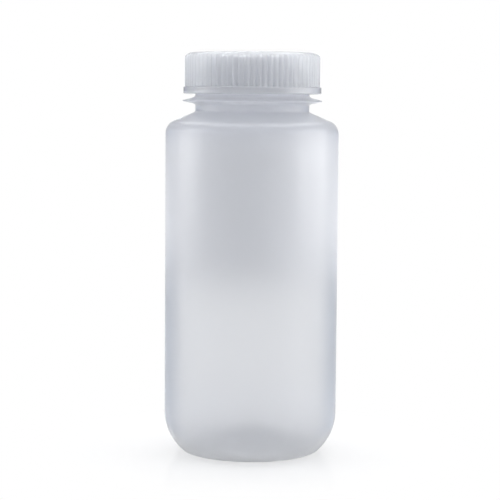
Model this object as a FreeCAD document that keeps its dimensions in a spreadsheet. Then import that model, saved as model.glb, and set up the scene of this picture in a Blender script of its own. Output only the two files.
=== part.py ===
import FreeCAD, Part
import math
import os
import Sketcher

# Wide-mouth laboratory bottle, 500 ml, blow-moulded polypropylene with a ribbed screw cap.
#
# Frame: millimetres, +Z up along the bottle's axis, origin at the middle of the face that it stands on.
# The bottle is one hollow moulding: push-up base, rounded heel, straight wall, sloping shoulder, neck,
# neck flange, screw thread and rim. The cap is one moulding too: top plate, ribbed skirt with a smooth
# band at its edge, and a ring under the plate that plugs the mouth. The cap's plate rests on the rim.

# Driving dimensions: name, value, what it is. Lengths in millimetres, angles in degrees.
DIMENSIONS = (
    # Bottle
    ("body_radius", 36.5, "outside radius of the straight wall"),
    ("wall", 1.2, "thickness of the body, shoulder and base"),
    ("shoulder_height", 134.6, "where the straight wall ends and the shoulder starts"),
    ("shoulder_radius", 6.0, "outside radius of the bend from wall to shoulder"),
    ("shoulder_slope", 22.6, "slope of the shoulder's cone above the horizontal"),
    ("neck_rise", 32.2, "height of the flat rim above the end of the straight wall"),
    ("neck_radius", 24.0, "outside radius of the neck, also between the thread's turns"),
    ("neck_wall", 2.3, "thickness of the neck between the thread's turns"),
    ("rim_chamfer", 0.5, "chamfer of the rim's outer edge"),
    ("mouth_chamfer", 0.3, "chamfer of the rim's inner edge"),
    # Base
    ("heel_radius", 21.8, "radius of the large bend at the foot of the wall"),
    ("foot_radius", 4.5, "radius of the tighter bend down to the standing ring"),
    ("stand_inset", 9.8, "how far the standing ring's outer edge lies inside the wall's face"),
    ("stand_width", 1.4, "width of the flat standing ring"),
    ("push_up_slope", 19.0, "width of the slope between the standing ring and the push-up's middle"),
    ("push_up_height", 7.8, "height of the push-up's middle above the standing face"),
    # Neck flange
    ("flange_reach", 5.35, "how far the neck flange stands out of the neck"),
    ("flange_gap", 2.9, "how far the middle of the flange's edge lies below the closed cap"),
    ("flange_edge", 0.7, "thickness of the flange at its rim"),
    ("flange_rise", 1.4, "how far the flange's top side climbs from the edge's middle to the neck"),
    ("flange_fall", 1.3, "how far its under side drops from the edge's middle to the neck"),
    # Neck thread
    ("thread_pitch", 4.23, "pitch of the neck thread, six turns to 25.4 mm, right-handed"),
    ("thread_turns", 2.0, "full turns of the thread between its run-outs"),
    ("thread_height", 2.0, "how far the thread stands out of the neck"),
    ("thread_root", 2.5, "width of the thread at the neck"),
    ("thread_crest", 0.9, "width of the thread at its crest"),
    ("thread_drop", 11.6, "how far below the rim the first full turn starts"),
    ("thread_start_angle", 151.0, "where the first full turn starts, around the axis from +X"),
    ("thread_runout_turn", 0.12, "length of each run-out as a share of a turn"),
    # Cap
    ("cap_plate", 1.8, "thickness of the cap's top plate"),
    ("skirt_depth", 15.5, "how far the skirt reaches below the rim"),
    ("skirt_wall", 1.3, "thickness of the skirt between its ribs"),
    ("thread_clearance", 0.4, "gap between the thread's crest and the bore of the skirt"),
    ("cap_edge_drop", 1.2, "height of the slope at the cap's upper edge"),
    ("cap_edge_width", 2.4, "width of that slope, inwards from the skirt"),
    ("band_step", 1.4, "how far the smooth band at the skirt's edge stands out of the skirt"),
    ("band_height", 3.0, "height of that band"),
    ("rib_count", 72, "number of grip ribs around the skirt"),
    ("rib_foot", 1.9, "width of each rib where it leaves the skirt"),
    ("rib_back", 0.8, "width of each rib's back"),
    ("rib_height", 0.7, "how far the ribs stand out of the skirt"),
    # Plug ring under the cap
    ("plug_clearance", 0.3, "gap between the plug ring and the mouth"),
    ("plug_wall", 1.2, "thickness of the plug ring"),
    ("plug_depth", 3.6, "how far the plug ring reaches into the mouth"),
)

# Places that several outlines share, worked out from the driving dimensions.
RIM = "(sizes.shoulder_height + sizes.neck_rise)"
MOUTH = "(sizes.neck_radius - sizes.neck_wall)"
STAND = "(sizes.body_radius - sizes.stand_inset)"
PUSH_UP = f"({STAND} - sizes.stand_width - sizes.push_up_slope)"
# The heel's two bends meet where the large one has turned by this angle from the wall.
HEEL_TURN = "acos((sizes.heel_radius - sizes.stand_inset) / (sizes.heel_radius - sizes.foot_radius))"
HEEL_TOP = f"(sizes.foot_radius + (sizes.heel_radius - sizes.foot_radius) * sin({HEEL_TURN}))"
FLANGE = f"({RIM} - sizes.skirt_depth - sizes.flange_gap)"
BORE = "(sizes.neck_radius + sizes.thread_height + sizes.thread_clearance)"
SKIRT = f"({BORE} + sizes.skirt_wall)"
BAND = f"({SKIRT} + sizes.band_step)"
PLUG = f"({MOUTH} - sizes.plug_clearance)"


def make_sizes(doc):
    """Keeps every driving dimension in one spreadsheet, each cell under its own name."""
    sheet = doc.addObject("Spreadsheet::Sheet", "sizes")
    for row, (name, number, meaning) in enumerate(DIMENSIONS, start=1):
        sheet.set(f"A{row}", meaning)
        sheet.set(f"B{row}", str(number))
        sheet.setAlias(f"B{row}", name)
    doc.recompute()
    return sheet


def value_of(sheet, expression):
    """The number, in millimetres or degrees, that an expression of the sheet has now."""
    number = sheet.evalExpression(expression)
    return float(getattr(number, "Value", number))


def plane_of(body, role):
    """The body's own origin plane or axis with that role."""
    return next(item for item in body.Origin.OriginFeatures if item.Role == role)


def add_sketch(body, name, role="XZ_Plane"):
    """An empty sketch on one of the body's origin planes."""
    sketch = body.newObject("Sketcher::SketchObject", name)
    sketch.AttachmentSupport = (plane_of(body, role), [""])
    sketch.MapMode = "FlatFace"
    return sketch


def bind(sketch, sheet, label, kind, where, size):
    """A size of the sketch, kept equal to an expression of the sheet. Zero is a point on an axis."""
    if size == "0":
        axis = -2 if kind == "DistanceX" else -1
        sketch.addConstraint(Sketcher.Constraint("PointOnObject", *where[-2:], axis))
        return
    index = sketch.addConstraint(Sketcher.Constraint(kind, *where, value_of(sheet, size)))
    sketch.renameConstraint(index, label)
    sketch.setExpression(f"Constraints.{label}", size)


def draw_outline(sketch, sheet, corners):
    """A closed outline through named corners, each with its two distances from the origin as expressions.

    A corner that also has a radius is reached by a bend, which leaves the corner before it straight up.
    """
    places = [FreeCAD.Vector(*(value_of(sheet, size) for size in corner[1:3]), 0) for corner in corners]
    for corner, start, end in zip(corners, places[-1:] + places[:-1], places):
        if len(corner) == 4:
            middle = start - FreeCAD.Vector(value_of(sheet, corner[3]), 0, 0)
            circle = Part.Circle(middle, FreeCAD.Vector(0, 0, 1), (start - middle).Length)
            turn = math.atan2(end.y - middle.y, end.x - middle.x)
            sketch.addGeometry(Part.ArcOfCircle(circle, 0, turn), False)
        else:
            sketch.addGeometry(Part.LineSegment(start, end), False)
    for index in range(len(corners)):
        sketch.addConstraint(Sketcher.Constraint("Coincident", index, 2, (index + 1) % len(corners), 1))
    for index, (name, across, up, *radius) in enumerate(corners):
        bind(sketch, sheet, f"{name}_across", "DistanceX", (-1, 1, index, 2), across)
        bind(sketch, sheet, f"{name}_up", "DistanceY", (-1, 1, index, 2), up)
        if radius:
            bind(sketch, sheet, f"{name}_radius", "Radius", (index,), radius[0])


def add_turned(body, sheet, kind, name, corners):
    """An outline in the XZ plane, turned about the body's axis: added (Revolution) or cut away (Groove)."""
    sketch = add_sketch(body, f"{name}_outline")
    draw_outline(sketch, sheet, corners)
    feature = body.newObject(f"PartDesign::{kind}", name)
    feature.Profile = sketch
    feature.ReferenceAxis = (plane_of(body, "Z_Axis"), [""])
    feature.Angle = 360
    body.Document.recompute()


def circles_at(shape, radius, height):
    """Names of the shape's whole round edges of that radius, level at that height around its axis."""
    names = []
    for number, edge in enumerate(shape.Edges, start=1):
        whole = abs(edge.Length - 2 * math.pi * radius) < 1e-3
        middle = edge.CenterOfMass
        if whole and math.hypot(middle.x, middle.y) < 1e-3 and abs(middle.z - height) < 1e-3:
            names.append(f"Edge{number}")
    return names


def add_chamfer(body, sheet, name, radius, height, size):
    """A chamfer on the round edge of the body at that radius and height."""
    base = body.Tip
    edges = circles_at(base.Shape, value_of(sheet, radius), value_of(sheet, height))
    if not edges:
        raise RuntimeError(f"{name}: no such edge on {base.Label}")
    chamfer = body.newObject("PartDesign::Chamfer", name)
    chamfer.Base = (base, edges)
    chamfer.setExpression("Size", size)
    body.Document.recompute()


def heel_corners(inset, flats):
    """The heel's corners, on its two bends less the inset: one at the foot, then flats up to the wall."""
    foot = f"(sizes.foot_radius - {inset})"
    heel = f"(sizes.heel_radius - {inset})"
    foot_up = f"sizes.foot_radius - {foot} * sin({HEEL_TURN})"
    corners = [("foot", f"{STAND} + {foot} * cos({HEEL_TURN})", foot_up)]
    for step in range(1, flats + 1):
        turn = f"{HEEL_TURN} * {flats - step} / {flats}"
        across = f"sizes.body_radius - sizes.heel_radius + {heel} * cos({turn})"
        corners.append((f"heel_{step}", across, f"{HEEL_TOP} - {heel} * sin({turn})"))
    return corners


def shoulder_corners(inset, neck):
    """Both ends of the shoulder's cone, from its bend to the neck, outside or at an inset inside it."""
    bend = f"(sizes.shoulder_radius - {inset})"
    across = f"(sizes.body_radius - sizes.shoulder_radius + {bend} * sin(sizes.shoulder_slope))"
    up = f"(sizes.shoulder_height + {bend} * cos(sizes.shoulder_slope))"
    cone_up = f"{up} + ({across} - {neck}) * tan(sizes.shoulder_slope)"
    return [("shoulder", across, up), ("cone", neck, cone_up)]


def add_outside(body, sheet):
    """The bottle's outside as a solid, from the push-up round the heel and shoulder to the rim."""
    shoulder, cone = shoulder_corners("0", "sizes.neck_radius")
    add_turned(body, sheet, "Revolution", "bottle_blank", [
        ("push_up_middle", "0", "sizes.push_up_height"),
        ("push_up", PUSH_UP, "sizes.push_up_height"),
        ("push_up_slope", f"{STAND} - sizes.stand_width", "0"),
        ("stand", STAND, "0"),
        *heel_corners("0", 3),
        ("wall", "sizes.body_radius", "sizes.shoulder_height"),
        (*shoulder, "sizes.shoulder_radius"),
        cone,
        ("neck", "sizes.neck_radius", RIM),
        ("rim", "0", RIM),
    ])


def cut_inside(body, sheet):
    """The cavity, at the wall's thickness inside the outside."""
    # Beside a slope as steep as the push-up's, a fifth of the wall is what keeps its thickness.
    add_turned(body, sheet, "Groove", "cavity", [
        ("floor_middle", "0", "sizes.push_up_height + sizes.wall"),
        ("floor", f"{PUSH_UP} + sizes.wall / 5", "sizes.push_up_height + sizes.wall"),
        ("floor_slope", f"{STAND} - sizes.stand_width + sizes.wall / 5", "sizes.wall"),
        ("stand", STAND, "sizes.wall"),
        *heel_corners("sizes.wall", 2),
        ("wall", "sizes.body_radius - sizes.wall", "sizes.shoulder_height"),
        *shoulder_corners("sizes.wall", MOUTH),
        ("mouth", MOUTH, RIM),
        ("rim", "0", RIM),
    ])


def add_neck_flange(body, sheet):
    """The thin flange around the neck: a wedge, thick at the neck and narrow at its rim."""
    root = "sizes.neck_radius - sizes.neck_wall / 2"
    tip = "sizes.neck_radius + sizes.flange_reach"
    add_turned(body, sheet, "Revolution", "neck_flange", [
        ("under_root", root, f"{FLANGE} - sizes.flange_fall"),
        ("under_neck", "sizes.neck_radius", f"{FLANGE} - sizes.flange_fall"),
        ("under_edge", tip, f"{FLANGE} - sizes.flange_edge / 2"),
        ("top_edge", tip, f"{FLANGE} + sizes.flange_edge / 2"),
        ("top_neck", "sizes.neck_radius", f"{FLANGE} + sizes.flange_rise"),
        ("top_root", root, f"{FLANGE} + sizes.flange_rise"),
    ])


def add_thread_run(body, sheet, name, above, turns, cone, downward=False):
    """One run of the neck thread: its section, turned about the neck's axis along a helix."""
    sketch = add_sketch(body, f"{name}_section")
    turn = FreeCAD.Rotation(FreeCAD.Vector(0, 1, 0), 0)
    sketch.AttachmentOffset = FreeCAD.Placement(FreeCAD.Vector(0, 0, 0), turn)
    sketch.setExpression("AttachmentOffset.Rotation.Angle", "sizes.thread_start_angle")
    middle = f"{RIM} - sizes.thread_drop + {above}"
    crest = "sizes.neck_radius + sizes.thread_height"
    # The section starts inside the neck's wall, so that the ridge and the neck are one solid.
    root = "sizes.neck_radius - sizes.thread_height / 4"
    draw_outline(sketch, sheet, [
        ("crest_low", crest, f"{middle} - sizes.thread_crest / 2"),
        ("crest_high", crest, f"{middle} + sizes.thread_crest / 2"),
        ("root_high", root, f"{middle} + sizes.thread_root / 2"),
        ("root_low", root, f"{middle} - sizes.thread_root / 2"),
    ])
    helix = body.newObject("PartDesign::AdditiveHelix", name)
    helix.Profile = sketch
    helix.ReferenceAxis = (plane_of(body, "Z_Axis"), [""])
    helix.Mode = "pitch-turns-angle"
    helix.Reversed = downward
    helix.setExpression("Pitch", "sizes.thread_pitch")
    helix.setExpression("Turns", turns)
    helix.setExpression("Angle", cone)
    body.Document.recompute()


def add_neck_thread(body, sheet):
    """The screw thread: full turns at one height, and at each end a run-out that sinks into the neck."""
    # Each run-out sinks by a fifth more than the thread's height, so that its tip ends inside the wall.
    length = "sizes.thread_pitch * sizes.thread_runout_turn"
    cone = f"-atan(1.2 * sizes.thread_height / ({length})) / 1 deg"
    climb = "sizes.thread_pitch * sizes.thread_turns"
    add_thread_run(body, sheet, "thread", "0", "sizes.thread_turns", "0")
    add_thread_run(body, sheet, "thread_top_runout", climb, "sizes.thread_runout_turn", cone)
    add_thread_run(body, sheet, "thread_foot_runout", "0", "sizes.thread_runout_turn", cone, downward=True)


def make_bottle(doc, sheet):
    """The bottle: one blow-moulded wall from the push-up base to the rim."""
    body = doc.addObject("PartDesign::Body", "bottle")
    body.Label = "bottle"
    body.Placement = FreeCAD.Placement()
    add_outside(body, sheet)
    add_neck_flange(body, sheet)
    add_chamfer(body, sheet, "rim_outer_edge", "sizes.neck_radius", RIM, "sizes.rim_chamfer")
    add_neck_thread(body, sheet)
    cut_inside(body, sheet)
    add_chamfer(body, sheet, "rim_inner_edge", MOUTH, RIM, "sizes.mouth_chamfer")
    return body


def add_grip_ribs(body, sheet):
    """The upright ribs of the grip: one rib on the skirt, repeated around it."""
    sketch = add_sketch(body, "rib_section", "XY_Plane")
    # The rib's foot is sunk into the band by half the band's height, and its flanks into the skirt.
    sketch.setExpression("AttachmentOffset.Base.z", "-sizes.skirt_depth + sizes.band_height / 2")
    root = f"{SKIRT} - sizes.rib_height / 4"
    back = f"{SKIRT} + sizes.rib_height"
    half_root = "(sizes.rib_foot / 2 + (sizes.rib_foot - sizes.rib_back) / 8)"
    draw_outline(sketch, sheet, [
        ("root_right", root, f"-{half_root}"),
        ("back_right", back, "-sizes.rib_back / 2"),
        ("back_left", back, "sizes.rib_back / 2"),
        ("root_left", root, half_root),
    ])
    rib = body.newObject("PartDesign::Pad", "rib")
    rib.Profile = sketch
    length = "sizes.cap_plate - sizes.cap_edge_drop + sizes.skirt_depth - sizes.band_height / 2"
    rib.setExpression("Length", length)
    body.Document.recompute()

    ribs = body.newObject("PartDesign::PolarPattern", "grip_ribs")
    ribs.Originals = [rib]
    ribs.Axis = (plane_of(body, "Z_Axis"), [""])
    ribs.Angle = 360
    ribs.setExpression("Occurrences", "sizes.rib_count")
    body.Tip = ribs
    body.Document.recompute()


def make_cap(doc, sheet):
    """The cap: one moulding, built about the level where its plate rests on the bottle's rim."""
    body = doc.addObject("PartDesign::Body", "cap")
    body.Label = "cap"
    body.setExpression("Placement.Base.z", RIM)

    band_top = "-sizes.skirt_depth + sizes.band_height"
    add_turned(body, sheet, "Revolution", "cap_blank", [
        ("edge_middle", "0", "-sizes.skirt_depth"),
        ("edge", BAND, "-sizes.skirt_depth"),
        ("band_top", BAND, band_top),
        ("skirt_foot", SKIRT, band_top),
        ("skirt_top", SKIRT, "sizes.cap_plate - sizes.cap_edge_drop"),
        ("plate_edge", f"{SKIRT} - sizes.cap_edge_width", "sizes.cap_plate"),
        ("plate_middle", "0", "sizes.cap_plate"),
    ])
    add_grip_ribs(body, sheet)
    add_turned(body, sheet, "Groove", "cap_hollow", [
        ("mouth_middle", "0", "-sizes.skirt_depth"),
        ("bore_foot", BORE, "-sizes.skirt_depth"),
        ("bore_top", BORE, "0"),
        ("plug_root", PLUG, "0"),
        ("plug_outer", PLUG, "-sizes.plug_depth"),
        ("plug_inner", f"{PLUG} - sizes.plug_wall", "-sizes.plug_depth"),
        ("plate_under", f"{PLUG} - sizes.plug_wall", "0"),
        ("plate_middle", "0", "0"),
    ])
    return body


def check_objects(doc, bodies):
    """Stops the script if any feature failed, or a body isn't one sound solid."""
    for item in doc.Objects:
        if {"Invalid", "Error"} & set(item.State):
            raise RuntimeError(f"{item.Label} failed: {item.State}")
        if item.isDerivedFrom("Sketcher::SketchObject") and item.solve() != 0:
            raise RuntimeError(f"{item.Label} can't be solved")
    for body in bodies:
        if body.Shape.isNull() or not body.Shape.isValid() or len(body.Shape.Solids) != 1:
            raise RuntimeError(f"{body.Label} isn't one sound solid")


def main():
    doc = FreeCAD.newDocument("wide_mouth_bottle")
    sheet = make_sizes(doc)
    bodies = [make_bottle(doc, sheet), make_cap(doc, sheet)]
    doc.recompute()
    check_objects(doc, bodies)
    os.makedirs("parts", exist_ok=True)
    for body in bodies:
        body.Shape.exportStep(f"parts/{body.Label}.step")
        box = body.Shape.BoundBox
        print(f"{body.Label}: {body.Shape.Volume / 1000:.2f} cm3, z {box.ZMin:.2f} to {box.ZMax:.2f}")


main()
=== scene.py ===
import math

import bmesh
import bpy
from bpy.props import FloatProperty, FloatVectorProperty, IntProperty, PointerProperty
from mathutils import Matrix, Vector


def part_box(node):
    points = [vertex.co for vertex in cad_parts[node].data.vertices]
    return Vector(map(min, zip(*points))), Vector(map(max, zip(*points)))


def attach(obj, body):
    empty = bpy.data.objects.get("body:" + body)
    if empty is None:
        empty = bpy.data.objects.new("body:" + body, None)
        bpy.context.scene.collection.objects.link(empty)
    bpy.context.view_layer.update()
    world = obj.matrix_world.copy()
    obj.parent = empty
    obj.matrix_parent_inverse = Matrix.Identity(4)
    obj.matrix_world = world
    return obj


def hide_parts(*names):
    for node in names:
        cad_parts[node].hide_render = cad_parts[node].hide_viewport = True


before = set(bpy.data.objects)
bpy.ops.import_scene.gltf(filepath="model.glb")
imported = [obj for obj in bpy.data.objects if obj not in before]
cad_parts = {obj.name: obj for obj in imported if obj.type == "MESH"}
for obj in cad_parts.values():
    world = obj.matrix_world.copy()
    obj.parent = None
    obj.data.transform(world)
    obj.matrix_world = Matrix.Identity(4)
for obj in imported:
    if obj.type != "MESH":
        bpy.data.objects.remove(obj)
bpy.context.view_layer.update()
BOTTLE_LOW, BOTTLE_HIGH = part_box("bottle")
CAP_LOW, CAP_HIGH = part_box("cap")
MM = 0.001

# Shapes that stay as they are when the settings change: metres, the slope in degrees, the azimuth in radians
STAND_INSET = 9.8 * MM
STAND_WIDTH = 1.4 * MM
FOOT_RADIUS = 4.5 * MM
PUSH_UP_BEND = 16.0 * MM
SHOULDER_BEND = 6.0 * MM
SHOULDER_SLOPE = 22.6
THREAD_TURNS = 2.24
THREAD_DROP = 12.1 * MM
THREAD_AZIMUTH = math.radians(108)
PLASTIC_IOR = 1.49

# How hazy the blown wall is, as shares of the haze setting, and how much of the haze glows, by height in mm
WALL_HAZE = ((3, 0.2), (8, 0.5), (15, 0.7), (30, 0.3), (60, 0.3), (100, 1.6), (128, 1.6), (140, 1.4), (151, 1.4))
WALL_GLOW = ((8, 0.9), (30, 0.5), (100, 0.2), (128, 0.15), (140, 0.8), (151, 0.9))
CAP_GLOW = ((150, 0.78), (168, 0.78))

bl_info = {
    "name": "Wide-mouth bottle",
    "version": (1, 0, 0),
    "blender": (4, 5, 0),
    "location": "View3D > Sidebar > Labware",
    "description": "Models a milky wide-mouth bottle with its screw cap, and a white studio around it",
    "category": "Add Mesh",
}


class BottleSizes(bpy.types.PropertyGroup):
    """Sizes of the blow-moulded bottle."""

    body_radius: FloatProperty(
        name="Body radius", description="Outside radius of the straight wall",
        default=BOTTLE_HIGH[0], unit="LENGTH", precision=4)
    rim_height: FloatProperty(
        name="Rim height", description="Height of the flat rim above the floor",
        default=BOTTLE_HIGH[2], unit="LENGTH", precision=4)
    wall: FloatProperty(
        name="Wall", description="Thickness of the body, shoulder and base",
        default=1.2 * MM, unit="LENGTH", precision=4)
    heel_radius: FloatProperty(
        name="Heel radius", description="Radius of the large bend at the foot of the wall",
        default=21.8 * MM, unit="LENGTH", precision=4)
    shoulder_drop: FloatProperty(
        name="Shoulder drop", description="How far below the rim the straight wall ends",
        default=32.2 * MM, unit="LENGTH", precision=4)
    neck_radius: FloatProperty(
        name="Neck radius", description="Outside radius of the neck",
        default=24.0 * MM, unit="LENGTH", precision=4)
    mouth_radius: FloatProperty(
        name="Mouth radius", description="Inside radius of the neck",
        default=21.7 * MM, unit="LENGTH", precision=4)
    flange_radius: FloatProperty(
        name="Flange radius", description="Outside radius of the thin flange around the neck",
        default=29.35 * MM, unit="LENGTH", precision=4)
    push_up: FloatProperty(
        name="Push-up", description="Height of the hollow under the base",
        default=7.8 * MM, unit="LENGTH", precision=4)
    thread_pitch: FloatProperty(
        name="Thread pitch", description="Rise of the screw thread in one turn",
        default=4.23 * MM, unit="LENGTH", precision=5)
    turn_steps: IntProperty(
        name="Steps around", description="How many flats the round walls are made of",
        default=240, min=48, max=360)


class CapSizes(bpy.types.PropertyGroup):
    """Sizes of the ribbed screw cap."""

    band_radius: FloatProperty(
        name="Band radius", description="Outside radius of the smooth band at the foot of the skirt",
        default=CAP_HIGH[0], unit="LENGTH", precision=4)
    band_height: FloatProperty(
        name="Band height", description="Height of the smooth band",
        default=3.0 * MM, unit="LENGTH", precision=4)
    skirt_radius: FloatProperty(
        name="Skirt radius", description="Outside radius of the skirt between its ribs",
        default=27.7 * MM, unit="LENGTH", precision=4)
    bore_radius: FloatProperty(
        name="Bore radius", description="Inside radius of the skirt",
        default=26.4 * MM, unit="LENGTH", precision=4)
    edge_width: FloatProperty(
        name="Edge width", description="How far inwards the rounding of the upper edge reaches",
        default=2.6 * MM, unit="LENGTH", precision=4)
    edge_drop: FloatProperty(
        name="Edge drop", description="Height of the rounding of the upper edge",
        default=1.5 * MM, unit="LENGTH", precision=4)
    rib_count: IntProperty(
        name="Ribs", description="Number of grip ribs around the skirt", default=72, min=12, max=120)
    rib_height: FloatProperty(
        name="Rib height", description="How far each rib stands out of the skirt",
        default=0.7 * MM, unit="LENGTH", precision=5)


class Finish(bpy.types.PropertyGroup):
    """Colours and gloss of the plastic."""

    bottle_colour: FloatVectorProperty(
        name="Bottle", description="Colour of the bottle's natural polypropylene",
        default=(0.9, 0.905, 0.93), size=3, subtype="COLOR", min=0, max=1)
    cap_colour: FloatVectorProperty(
        name="Cap", description="Colour of the cap's natural polypropylene",
        default=(0.97, 0.972, 0.982), size=3, subtype="COLOR", min=0, max=1)
    bottle_haze: FloatProperty(
        name="Bottle haze", description="Share of light that the bottle's wall scatters",
        default=0.4, min=0, max=1, subtype="FACTOR")
    cap_haze: FloatProperty(
        name="Cap haze", description="Share of light that the cap's wall scatters",
        default=0.46, min=0, max=1, subtype="FACTOR")
    gloss: FloatProperty(
        name="Surface roughness", description="Roughness of the moulded surface",
        default=0.28, min=0, max=1, subtype="FACTOR")


class Studio(bpy.types.PropertyGroup):
    """Lights and floor."""

    side_power: FloatProperty(
        name="Side lights", description="Power of each softbox beside the bottle",
        default=3.8, unit="POWER", min=0)
    top_power: FloatProperty(
        name="Top light", description="Power of the softbox above the bottle",
        default=17.0, unit="POWER", min=0)
    floor_size: FloatProperty(
        name="Floor size", description="Width of the white floor", default=6.0, unit="LENGTH", min=1)


def deselect():
    if bpy.context.object and bpy.context.object.mode != "OBJECT":
        bpy.ops.object.mode_set(mode="OBJECT")
    bpy.ops.object.select_all(action="DESELECT")


def on_axis(radius, height, azimuth=0.0):
    """The place at that distance from the axis, at that height, in the direction of the azimuth."""
    return Vector((radius * math.cos(azimuth), radius * math.sin(azimuth), height))


def draw_outline(name, points, azimuth=0.0, closed=False):
    """A new piece in edit mode: one line of vertices through the points, extruded one by one."""
    deselect()
    places = [on_axis(radius, height, azimuth) for radius, height in points]
    bpy.ops.mesh.primitive_plane_add(size=MM, location=places[0])
    piece = bpy.context.object
    piece.name = piece.data.name = name
    bpy.ops.object.transform_apply(location=True, rotation=True, scale=True)
    bpy.ops.object.mode_set(mode="EDIT")
    bpy.ops.mesh.select_mode(type="VERT")
    bpy.ops.mesh.select_all(action="SELECT")
    bpy.ops.mesh.merge(type="CENTER")
    for here, there in zip(places, places[1:]):
        bpy.ops.mesh.extrude_vertices_move(TRANSFORM_OT_translate={"value": there - here})
    if closed:
        pick(piece, lambda co: min((co - places[0]).length, (co - places[-1]).length) < 1e-6)
        bpy.ops.mesh.edge_face_add()
    return piece


def pick(piece, wanted):
    """Selects the vertices of the piece in edit mode whose place passes the test."""
    mesh = bmesh.from_edit_mesh(piece.data)
    for vertex in mesh.verts:
        vertex.select_set(wanted(vertex.co))
    mesh.select_flush(True)
    bmesh.update_edit_mesh(piece.data)


def close_seams():
    """Merges what a spin leaves double and turns all faces outwards, in edit mode."""
    bpy.ops.mesh.select_all(action="SELECT")
    bpy.ops.mesh.remove_doubles(threshold=0.01 * MM)
    bpy.ops.mesh.normals_make_consistent(inside=False)


def smooth(piece, angle=32.0):
    deselect()
    piece.select_set(True)
    bpy.context.view_layer.objects.active = piece
    bpy.ops.object.shade_smooth_by_angle(angle=math.radians(angle))


def arc(centre, radius, start, end, steps):
    """Points along an arc about a centre, angles in degrees from level outwards."""
    angles = [math.radians(start + (end - start) * step / steps) for step in range(steps + 1)]
    return [(centre[0] + radius * math.cos(a), centre[1] + radius * math.sin(a)) for a in angles]


def thread_ridge(name, section, pitch, turns, start_height, start_azimuth, wall, runout=0.14, steps=90):
    """A closed ridge along a right-handed helix. The section's heights count from the helix.

    Each end runs out over a share of a turn, where the crest sinks into the round wall of that radius.
    """
    points = [(radius, start_height + height) for radius, height in section]
    ridge = draw_outline(name, points, start_azimuth, closed=True)
    deselect()
    ridge.select_set(True)
    bpy.context.view_layer.objects.active = ridge
    bpy.ops.object.modifier_add(type="SCREW")
    screw = ridge.modifiers[-1]
    screw.axis = "Z"
    screw.angle = math.tau * turns
    screw.screw_offset = pitch * turns
    screw.steps = screw.render_steps = round(steps * turns)
    screw.use_merge_vertices = False
    bpy.ops.object.modifier_apply(modifier=screw.name)

    def turn_at(place):
        """How many turns along the helix a vertex lies."""
        share = (math.atan2(place.y, place.x) - start_azimuth) / math.tau
        return share + round((place.z - start_height) / pitch - share)

    bpy.ops.object.mode_set(mode="EDIT")
    count = round(steps * runout)
    height = section[len(section) // 2][0] - wall
    for step in range(count):
        depth = (height + math.copysign(0.1 * MM, height)) * (1 - step / count) ** 1.4
        for turn in (step / steps, turns - step / steps):
            azimuth = start_azimuth + turn * math.tau

            def on_crest(place):
                out = math.hypot(place.x, place.y) - wall
                return abs(turn_at(place) - turn) < 0.4 / steps and out / height > 0.3
            pick(ridge, on_crest)
            bpy.ops.transform.translate(value=on_axis(-depth, 0, azimuth))
    bpy.ops.mesh.select_all(action="SELECT")
    bpy.ops.mesh.fill_holes(sides=20)
    bpy.ops.mesh.normals_make_consistent(inside=False)
    bpy.ops.object.mode_set(mode="OBJECT")
    return ridge


def join_solid(piece, part):
    """Makes the part one with the piece, so that no wall is left between them."""
    deselect()
    piece.select_set(True)
    bpy.context.view_layer.objects.active = piece
    bpy.ops.object.modifier_add(type="BOOLEAN")
    union = piece.modifiers[-1]
    union.operation = "UNION"
    union.solver = "EXACT"
    union.object = part
    bpy.ops.object.modifier_apply(modifier=union.name)
    bpy.data.objects.remove(part)


def heel_bend(sizes):
    """The angle at which the heel's large bend meets the small one at the foot, and the height of its top."""
    foot, heel = FOOT_RADIUS, sizes.heel_radius
    turn = math.degrees(math.acos((heel - STAND_INSET) / (heel - foot)))
    return turn, foot + (heel - foot) * math.sin(math.radians(turn))


def outside_points(sizes):
    """The bottle's outside in half section, from the middle of the push-up to the foot of the neck."""
    body, heel, foot = sizes.body_radius, sizes.heel_radius, FOOT_RADIUS
    wall_top = sizes.rim_height - sizes.shoulder_drop
    stand = body - STAND_INSET
    turn, heel_top = heel_bend(sizes)
    points = push_up_points(stand - STAND_WIDTH, sizes.push_up, 0.0, PUSH_UP_BEND)
    points += [(stand - STAND_WIDTH / 2, 0.0)]
    points += arc((stand, foot), foot, -90, -turn, 8)
    points += arc((body - heel, heel_top), heel, -turn, 0, 16)[1:]
    points += [(body, heel_top + (wall_top - heel_top) * share) for share in (0.25, 0.5, 0.75)]
    points += arc((body - SHOULDER_BEND, wall_top), SHOULDER_BEND, 0, 90 - SHOULDER_SLOPE, 12)
    points += cone_to_neck(points[-1], sizes.neck_radius, 1.0 * MM)
    return points


def cone_to_neck(cone_foot, neck, bend):
    """The hollow bend from the shoulder's cone, which starts at the given place, into the neck."""
    angle = math.radians(SHOULDER_SLOPE)
    centre_x = neck + bend
    centre_z = cone_foot[1] + (bend - math.sin(angle) * (centre_x - cone_foot[0])) / math.cos(angle)
    return arc((centre_x, centre_z), bend, 270 - SHOULDER_SLOPE, 180, 6)


def push_up_points(ring, height, floor, bend):
    """The dome of the push-up in half section, from its middle to the inner edge of the standing ring."""
    bend_z = floor + bend
    drop = height - bend_z
    dome = (ring ** 2 + drop ** 2 - bend ** 2) / 2 / (drop + bend)
    reach = dome / (dome + bend)
    edge = math.degrees(math.asin(ring * reach / dome))
    points = arc((0, height - dome), dome, 90, 90 - edge, 12)
    return points + arc((ring, bend_z), bend, 270 - edge, 270, 9)[1:]


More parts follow.
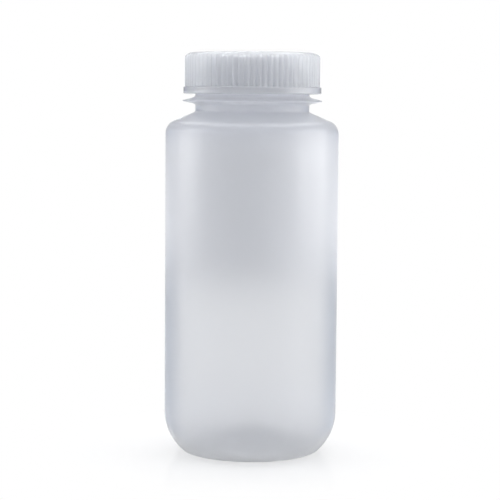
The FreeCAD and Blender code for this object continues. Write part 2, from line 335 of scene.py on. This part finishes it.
def neck_points(sizes):
    """The neck's outside and mouth, from above the shoulder to the inside of the neck."""
    neck, rim, flange, mouth = sizes.neck_radius, sizes.rim_height, sizes.flange_radius, sizes.mouth_radius
    middle = rim - 18.4 * MM
    edge = 0.35 * MM
    under = ((0, -2.0), (0.18, -1.55), (0.55, -1.25), (1.3, -1.02), (3.0, -0.72))
    above = ((3.6, 0.78), (2.2, 1.05), (1.2, 1.32), (0.6, 1.62), (0.2, 2.0), (0, 2.5))
    points = [(neck + across * MM, middle + up * MM) for across, up in under]
    points += arc((flange - edge, middle), edge, -80, 80, 8)
    points += [(neck + across * MM, middle + up * MM) for across, up in above]
    points += arc((neck - 0.5 * MM, rim - 0.5 * MM), 0.5 * MM, 0, 90, 5)
    points += arc((mouth + 0.3 * MM, rim - 0.3 * MM), 0.3 * MM, 90, 180, 4)
    return points


def inside_points(sizes):
    """The cavity in half section, from under the neck down to the middle of the floor."""
    wall, body, heel, foot = sizes.wall, sizes.body_radius, sizes.heel_radius, FOOT_RADIUS
    wall_top = sizes.rim_height - sizes.shoulder_drop
    stand = body - STAND_INSET
    turn, heel_top = heel_bend(sizes)
    shoulder = arc((body - SHOULDER_BEND, wall_top), SHOULDER_BEND - wall, 0, 90 - SHOULDER_SLOPE, 10)
    points = cone_to_neck(shoulder[-1], sizes.mouth_radius, 2.2 * MM)[::-1]
    points += shoulder[::-1]
    points += [(body - wall, heel_top + (wall_top - heel_top) * share) for share in (0.75, 0.5, 0.25)]
    points += arc((body - heel, heel_top), heel - wall, 0, -turn, 16)
    points += arc((stand, foot), foot - wall, -turn, -90, 6)[1:]
    points += push_up_points(stand - STAND_WIDTH, sizes.push_up + wall, wall, PUSH_UP_BEND - wall)[::-1]
    return points


class LABWARE_OT_bottle_wall(bpy.types.Operator):
    """Turns the bottle's wall from its section and adds the neck's screw thread"""

    bl_idname = "labware.bottle_wall"
    bl_label = "Bottle"

    def execute(self, context):
        sizes = context.scene.bottle_sizes
        outline = outside_points(sizes) + neck_points(sizes) + inside_points(sizes)
        wall = draw_outline("bottle_wall", outline)
        bpy.ops.mesh.select_all(action="SELECT")
        bpy.ops.mesh.spin(steps=sizes.turn_steps, angle=math.tau, center=(0, 0, 0), axis=(0, 0, 1))
        close_seams()
        bpy.ops.object.mode_set(mode="OBJECT")
        neck = sizes.neck_radius
        section = [(neck - 0.6 * MM, -1.25 * MM), (neck, -1.25 * MM), (neck + 1.75 * MM, -0.55 * MM),
                   (neck + 1.95 * MM, -0.35 * MM), (neck + 1.99 * MM, 0), (neck + 1.95 * MM, 0.35 * MM),
                   (neck + 1.75 * MM, 0.55 * MM), (neck, 1.25 * MM), (neck - 0.6 * MM, 1.25 * MM)]
        ridge = thread_ridge("neck_thread", section, sizes.thread_pitch, THREAD_TURNS,
                             sizes.rim_height - THREAD_DROP, THREAD_AZIMUTH, neck)
        join_solid(wall, ridge)
        smooth(wall)
        wall.data.materials.clear()
        wall.data.materials.append(bottle_plastic(context.scene.finish))
        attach(wall, "bottle")
        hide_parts("bottle")
        return {"FINISHED"}


def cap_points(sizes):
    """The cap in half section, from the middle of its top round the skirt to the middle of its ceiling."""
    top, foot, seat = CAP_HIGH[2], CAP_LOW[2], BOTTLE_HIGH[2] + 0.04 * MM
    skirt, band, bore = sizes.skirt_radius, sizes.band_radius, sizes.bore_radius
    drop = sizes.edge_drop
    band_top = foot + sizes.band_height
    edge = 0.45 * MM
    plug_out, plug_in, plug_foot = 21.4 * MM, 20.2 * MM, seat - 3.6 * MM
    gate = 0.15 * MM
    points = [(0, top - gate), (1.3 * MM, top - gate), (1.6 * MM, top), (8 * MM, top), (17 * MM, top)]
    bend = arc((0, 0), 1, 90, 0, 8)
    points += [(skirt - sizes.edge_width * (1 - across), top - drop * (1 - up)) for across, up in bend]
    points += [(skirt, top - drop - step * MM) for step in (0.4, 0.8, 1.3)]
    points += [(skirt, (top + band_top) / 2 - 1 * MM), (skirt, band_top)]
    points += arc((band - edge, band_top - edge), edge, 90, 0, 4)
    points += arc((band - edge, foot + edge), edge, 0, -90, 4)
    points += arc((bore + 0.5 * MM, foot + 0.5 * MM), 0.5 * MM, -90, -180, 3)
    points += [(bore, (foot + seat) / 2), (bore, seat - 0.5 * MM), (bore - 0.5 * MM, seat)]
    points += [(plug_out + 0.3 * MM, seat), (plug_out, seat - 0.3 * MM)]
    points += arc((plug_out - 0.45 * MM, plug_foot + 0.45 * MM), 0.45 * MM, 0, -90, 4)
    points += arc((plug_in + 0.45 * MM, plug_foot + 0.45 * MM), 0.45 * MM, -90, -180, 4)
    points += [(plug_in, seat - 0.3 * MM), (plug_in - 0.3 * MM, seat), (10 * MM, seat), (0, seat)]
    return points


def raise_rib(wedge, sizes, columns):
    """Swells the wedge's skirt into one rounded rib, which fades out over the cap's upper edge."""
    top, band_top = CAP_HIGH[2], CAP_LOW[2] + sizes.band_height
    drop = sizes.edge_drop
    back = 1.24 * MM * sizes.rib_height / (0.7 * MM)
    levels = [(band_top - 0.1 * MM, top - drop - 1.1 * MM, 1.0)]
    fades = ((0.8, 0.98), (0.4, 0.92))
    levels += [(top - drop - (at + 0.1) * MM, top - drop - (at - 0.1) * MM, share) for at, share in fades]
    for step, share in enumerate((0.78, 0.5, 0.2, 0.05)):
        height = top - drop * (1 - math.sin(math.radians(11.25 * step)))
        levels.append((height - 0.06 * MM, height + 0.06 * MM, share))
    half = math.pi / sizes.rib_count
    mesh = bmesh.from_edit_mesh(wedge.data)
    outer = [vertex.co for vertex in mesh.verts if vertex.co.x > sizes.bore_radius]
    first = min(math.atan2(place.y, place.x) for place in outer)
    for column in range(1, columns):
        azimuth = first + 2 * half * column / columns
        across = abs(azimuth - first - half) * sizes.skirt_radius
        if across >= back:
            continue
        swell = math.sqrt(back ** 2 - across ** 2) - (back - sizes.rib_height)
        if swell <= 0:
            continue
        for low, high, share in levels:
            def wanted(place):
                near = abs(math.atan2(place.y, place.x) - azimuth) < half / columns
                return near and low <= place.z <= high and on_skirt(place, sizes)
            pick(wedge, wanted)
            bpy.ops.transform.translate(value=on_axis(swell * share, 0, azimuth))


def on_skirt(place, sizes):
    """True for the skirt's outside, between the ribs."""
    radius = math.hypot(place.x, place.y)
    inner = (sizes.skirt_radius + sizes.bore_radius) / 2
    return inner < radius < sizes.skirt_radius + 0.01 * MM


class LABWARE_OT_cap_shell(bpy.types.Operator):
    """Models one rib's wedge of the screw cap, repeats it all round and adds the thread inside"""

    bl_idname = "labware.cap_shell"
    bl_label = "Cap"

    def execute(self, context):
        sizes = context.scene.cap_sizes
        bottle = context.scene.bottle_sizes
        columns = 8
        half = math.pi / sizes.rib_count
        shell = draw_outline("cap_shell", cap_points(sizes), -half)
        bpy.ops.mesh.select_all(action="SELECT")
        bpy.ops.mesh.spin(steps=columns, angle=2 * half, center=(0, 0, 0), axis=(0, 0, 1))
        raise_rib(shell, sizes, columns)
        bpy.ops.mesh.select_all(action="SELECT")
        copies = sizes.rib_count - 1
        bpy.ops.mesh.spin(steps=copies, dupli=True, angle=2 * half * copies, center=(0, 0, 0), axis=(0, 0, 1))
        close_seams()
        bpy.ops.object.mode_set(mode="OBJECT")
        bore = sizes.bore_radius
        section = [(bore + 0.4 * MM, -1.0 * MM), (bore, -1.0 * MM), (bore - 1.6 * MM, -0.45 * MM),
                   (bore - 1.75 * MM, 0),
                   (bore - 1.6 * MM, 0.45 * MM), (bore, 1.0 * MM), (bore + 0.4 * MM, 1.0 * MM)]
        # The cap's thread lies half a pitch below the neck's, in the groove between its turns.
        start = bottle.rim_height - THREAD_DROP - bottle.thread_pitch / 2
        ridge = thread_ridge("cap_thread", section, bottle.thread_pitch, 2.3, start, THREAD_AZIMUTH, bore)
        join_solid(shell, ridge)
        smooth(shell)
        shell.data.materials.clear()
        shell.data.materials.append(cap_plastic(context.scene.finish))
        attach(shell, "cap")
        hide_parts("cap")
        return {"FINISHED"}


def new_material(name):
    material = bpy.data.materials.new(name)
    material.use_nodes = True
    tree = material.node_tree
    tree.nodes.clear()
    return material, tree


def add_node(tree, kind, **values):
    """A node of that kind, with sockets and settings by name."""
    node = tree.nodes.new(f"ShaderNode{kind}")
    for name, value in values.items():
        socket = node.inputs.get(name.replace("_", " "))
        if socket is not None:
            socket.default_value = value
        else:
            setattr(node, name, value)
    return node


def add_math(tree, operation, *values):
    """The result of a calculation. Each value is a number or another node's output."""
    node = add_node(tree, "Math", operation=operation)
    for socket, value in zip(node.inputs, values):
        if isinstance(value, bpy.types.NodeSocket):
            tree.links.new(value, socket)
        else:
            socket.default_value = value
    return node.outputs["Value"]


def smooth_step(tree, value, low, high, start=0.0, end=1.0):
    """A smooth change from start to end while the value goes from low to high."""
    node = add_node(tree, "MapRange", interpolation_type="SMOOTHSTEP",
                    From_Min=low, From_Max=high, To_Min=start, To_Max=end)
    tree.links.new(value, node.inputs["Value"])
    return node.outputs["Result"]


def mix_shaders(tree, share, first, second):
    """The first shader, with that share of the second."""
    node = add_node(tree, "MixShader")
    for socket, output in zip(node.inputs, (share, first, second)):
        tree.links.new(output, socket)
    return node.outputs["Shader"]


def split(tree, kind):
    """The X, Y and Z of the place, or of the normal, in the object's own axes."""
    parts = add_node(tree, "SeparateXYZ")
    tree.links.new(add_node(tree, "TexCoord").outputs[kind], parts.inputs["Vector"])
    return parts.outputs


def by_height(tree, stops):
    """A value that follows the height, through stops of millimetres and value."""
    link = tree.links.new
    scale = add_node(tree, "MapRange", From_Max=CAP_HIGH[2])
    link(split(tree, "Object")["Z"], scale.inputs["Value"])
    ramp = add_node(tree, "ValToRGB")
    ramp.color_ramp.interpolation = "EASE"
    elements = ramp.color_ramp.elements
    elements[0].position, elements[1].position = (stops[end][0] * MM / CAP_HIGH[2] for end in (0, -1))
    for at, value in stops[1:-1]:
        elements.new(at * MM / CAP_HIGH[2])
    for element, (at, value) in zip(elements, stops):
        element.color = (value, value, value, 1)
    link(scale.outputs["Result"], ramp.inputs["Fac"])
    return ramp.outputs["Color"]


def painted_edge_shade(tree):
    """Painted shade in the clear plastic's colour: deeper and bluer where the upright wall is seen edge on,
    standing in for the darker reflections at its edges.
    """
    facing = add_node(tree, "LayerWeight", Blend=0.5)
    rim = smooth_step(tree, facing.outputs["Facing"], 0.35, 0.8)
    lean = add_math(tree, "ABSOLUTE", split(tree, "Normal")["Z"])
    upright = smooth_step(tree, lean, 0.12, 0.5, 1.0, 0.0)
    shade_mix = add_node(tree, "Mix", data_type="RGBA")
    shade_mix.inputs["A"].default_value = (0.95, 0.957, 0.972, 1)
    # The second colour is the painted shade that the upright wall's edges take on.
    shade_mix.inputs["B"].default_value = (0.55, 0.63, 0.77, 1)
    tree.links.new(add_math(tree, "MULTIPLY", rim, upright), shade_mix.inputs["Factor"])
    return shade_mix.outputs["Result"]


def moulded_plastic(name, colour, roughness, wave_scale, wave_depth, haze, glow_share):
    """Milky polypropylene: clear plastic with haze, part of which throws light back while the rest glows."""
    material, tree = new_material(name)
    link = tree.links.new
    stretch = add_node(tree, "Mapping", Scale=(1, 1, 0.35))
    link(add_node(tree, "TexCoord").outputs["Object"], stretch.inputs["Vector"])
    flow = add_node(tree, "TexNoise", Scale=wave_scale, Detail=3.0, Roughness=0.5)
    link(stretch.outputs["Vector"], flow.inputs["Vector"])
    cloud = add_node(tree, "ValToRGB")
    for element, position, shade in zip(cloud.color_ramp.elements, (0.3, 0.7), (0.985, 1.0)):
        element.position = position
        element.color = (*[part * shade for part in colour], 1)
    link(flow.outputs["Fac"], cloud.inputs["Fac"])
    waves = add_node(tree, "Bump", Strength=0.3, Distance=wave_depth)
    link(flow.outputs["Fac"], waves.inputs["Height"])

    clear = add_node(tree, "BsdfPrincipled", Roughness=roughness, IOR=PLASTIC_IOR, Transmission_Weight=1.0)
    # The clear plastic's colour carries painted shade, darker and bluer at the upright wall's edges.
    link(painted_edge_shade(tree), clear.inputs["Base Color"])
    milk = add_node(tree, "BsdfPrincipled", Roughness=roughness, IOR=PLASTIC_IOR)
    link(cloud.outputs["Color"], milk.inputs["Base Color"])
    glow = add_node(tree, "BsdfTranslucent")
    link(cloud.outputs["Color"], glow.inputs["Color"])
    gloss = add_node(tree, "BsdfAnisotropic", Roughness=roughness)
    for shader in (clear, milk, gloss):
        link(waves.outputs["Normal"], shader.inputs["Normal"])

    # The glow has no gloss of its own, and gets one on the faces that look outwards.
    outwards = add_math(tree, "SUBTRACT", 1.0, add_node(tree, "NewGeometry").outputs["Backfacing"])
    fresnel = add_node(tree, "Fresnel", IOR=PLASTIC_IOR)
    mirrored = add_math(tree, "MULTIPLY", fresnel.outputs["Fac"], outwards)
    glossy_glow = mix_shaders(tree, mirrored, glow.outputs["BSDF"], gloss.outputs["BSDF"])
    scatter = mix_shaders(tree, by_height(tree, glow_share), milk.outputs["BSDF"], glossy_glow)
    plastic = mix_shaders(tree, by_height(tree, haze), clear.outputs["BSDF"], scatter)
    link(plastic, add_node(tree, "OutputMaterial").inputs["Surface"])
    return material


def bottle_plastic(finish):
    haze = [(at, share * finish.bottle_haze) for at, share in WALL_HAZE]
    return moulded_plastic("milky_bottle", finish.bottle_colour, finish.gloss, 35.0, 0.4 * MM, haze, WALL_GLOW)


def cap_plastic(finish):
    haze = [(at, finish.cap_haze) for at, _ in CAP_GLOW]
    return moulded_plastic("milky_cap", finish.cap_colour, finish.gloss * 0.4, 60.0, 0.15 * MM, haze, CAP_GLOW)


def seen_rays(tree):
    """1 for what the camera sees directly, mirrored or through the plastic, and 0 for the rest."""
    rays = add_node(tree, "LightPath")
    seen = add_math(tree, "MAXIMUM", rays.outputs["Is Camera Ray"], rays.outputs["Is Glossy Ray"])
    return add_math(tree, "MAXIMUM", seen, rays.outputs["Is Transmission Ray"])


def white_floor():
    """White gloss board, which takes shadow and reflection near the bottle and is plain white further out."""
    material, tree = new_material("white_board")
    link = tree.links.new
    board = add_node(tree, "BsdfPrincipled", Roughness=0.12, IOR=1.45, Base_Color=(0.82, 0.82, 0.83, 1))
    distance = add_node(tree, "VectorMath", operation="LENGTH")
    link(add_node(tree, "TexCoord").outputs["Object"], distance.inputs[0])
    fade = smooth_step(tree, distance.outputs["Value"], 26 * MM, 95 * MM, 0.55)
    white = add_node(tree, "Emission", Strength=1.0)
    share = add_math(tree, "MULTIPLY", seen_rays(tree), fade)
    surface = mix_shaders(tree, share, board.outputs["BSDF"], white.outputs["Emission"])
    link(surface, add_node(tree, "OutputMaterial").inputs["Surface"])
    return material


def light_world():
    """A backdrop that looks white, directly, mirrored or through the plastic, and dimmer light all round."""
    world = bpy.data.worlds.new("white_room")
    bpy.context.scene.world = world
    world.use_nodes = True
    tree = world.node_tree
    tree.nodes.clear()
    link = tree.links.new
    rays = add_node(tree, "LightPath")
    direction = split(tree, "Object")
    ceiling = smooth_step(tree, direction["Z"], 0.2, 0.8, 1.0, 0.8)
    through = add_math(tree, "MULTIPLY", rays.outputs["Is Transmission Ray"], ceiling)
    level = add_math(tree, "MULTIPLY_ADD", through, 0.42, 0.43)
    level = add_math(tree, "MULTIPLY_ADD", rays.outputs["Is Glossy Ray"], -0.25, level)
    dim = add_node(tree, "Background", Color=(0.9, 0.945, 1, 1))
    link(level, dim.inputs["Strength"])
    white = add_node(tree, "Background", Strength=1.0, Color=(1, 1, 1, 1))
    backdrop = smooth_step(tree, direction["Y"], 0.9, 0.98)
    shown = add_math(tree, "MULTIPLY", seen_rays(tree), backdrop)
    share = add_math(tree, "MAXIMUM", rays.outputs["Is Camera Ray"], shown)
    light = mix_shaders(tree, share, dim.outputs["Background"], white.outputs["Background"])
    link(light, add_node(tree, "OutputWorld").inputs["Surface"])


def add_softbox(name, place, target, width, height, power):
    """A soft light that faces the target."""
    deselect()
    bpy.ops.object.light_add(type="AREA", location=place)
    lamp = bpy.context.object
    lamp.name = lamp.data.name = name
    lamp.rotation_euler = (Vector(target) - Vector(place)).to_track_quat("-Z", "Y").to_euler()
    lamp.data.shape = "RECTANGLE"
    lamp.data.size = width
    lamp.data.size_y = height
    lamp.data.energy = power


class LABWARE_OT_studio(bpy.types.Operator):
    """Sets up the white floor, the soft lights and the photograph's camera"""

    bl_idname = "labware.studio"
    bl_label = "Studio"

    def execute(self, context):
        studio = context.scene.studio
        deselect()
        bpy.ops.mesh.primitive_plane_add(size=studio.floor_size, location=(0, 0, -0.05 * MM))
        floor = bpy.context.object
        floor.name = floor.data.name = "floor"
        floor.data.materials.append(white_floor())

        middle = (0, 0, 0.09)
        reach, height = 0.9, 0.36
        for side, name, degrees, width in ((-1, "softbox_left", 90, 0.6), (1, "softbox_right", 86, 0.95)):
            angle = math.radians(degrees)
            place = (side * reach * math.sin(angle), -reach * math.cos(angle), height)
            add_softbox(name, place, middle, width, 0.66, studio.side_power * width / 0.6)
        add_softbox("softbox_top", (0, 0.35, 1.15), middle, 1.5, 1.5, studio.top_power)
        light_world()

        bpy.ops.object.camera_add(location=(0, -0.714, 0.1498))
        camera = bpy.context.object
        camera.name = camera.data.name = "photo_camera"
        camera.rotation_euler = (math.radians(90 - 5.15), math.radians(-0.42), 0.0014)
        focal_pixels, sensor, picture_width = 1690, 36, 500
        camera.data.sensor_width = sensor
        camera.data.lens = focal_pixels * sensor / picture_width
        camera.data.clip_start = 0.01
        context.scene.camera = camera
        context.scene.view_settings.view_transform = "Standard"
        return {"FINISHED"}


class LABWARE_PT_bottle(bpy.types.Panel):
    """Lists the bottle's sizes, finishes and steps"""

    bl_label = "Wide-mouth bottle"
    bl_idname = "LABWARE_PT_bottle"
    bl_space_type = "VIEW_3D"
    bl_region_type = "UI"
    bl_category = "Labware"

    def draw(self, context):
        scene = context.scene
        for settings in (scene.bottle_sizes, scene.cap_sizes, scene.finish, scene.studio):
            box = self.layout.box()
            for name in settings.__annotations__:
                box.prop(settings, name)
        for operator in (LABWARE_OT_bottle_wall, LABWARE_OT_cap_shell, LABWARE_OT_studio):
            self.layout.operator(operator.bl_idname)


CLASSES = (BottleSizes, CapSizes, Finish, Studio,
           LABWARE_OT_bottle_wall, LABWARE_OT_cap_shell, LABWARE_OT_studio, LABWARE_PT_bottle)


def register():
    for item in CLASSES:
        bpy.utils.register_class(item)
    bpy.types.Scene.bottle_sizes = PointerProperty(type=BottleSizes)
    bpy.types.Scene.cap_sizes = PointerProperty(type=CapSizes)
    bpy.types.Scene.finish = PointerProperty(type=Finish)
    bpy.types.Scene.studio = PointerProperty(type=Studio)


def unregister():
    for name in ("studio", "finish", "cap_sizes", "bottle_sizes"):
        delattr(bpy.types.Scene, name)
    for item in reversed(CLASSES):
        bpy.utils.unregister_class(item)


def main():
    register()
    bpy.ops.labware.bottle_wall()
    bpy.ops.labware.cap_shell()
    bpy.ops.labware.studio()


if __name__ == "__main__":
    main()
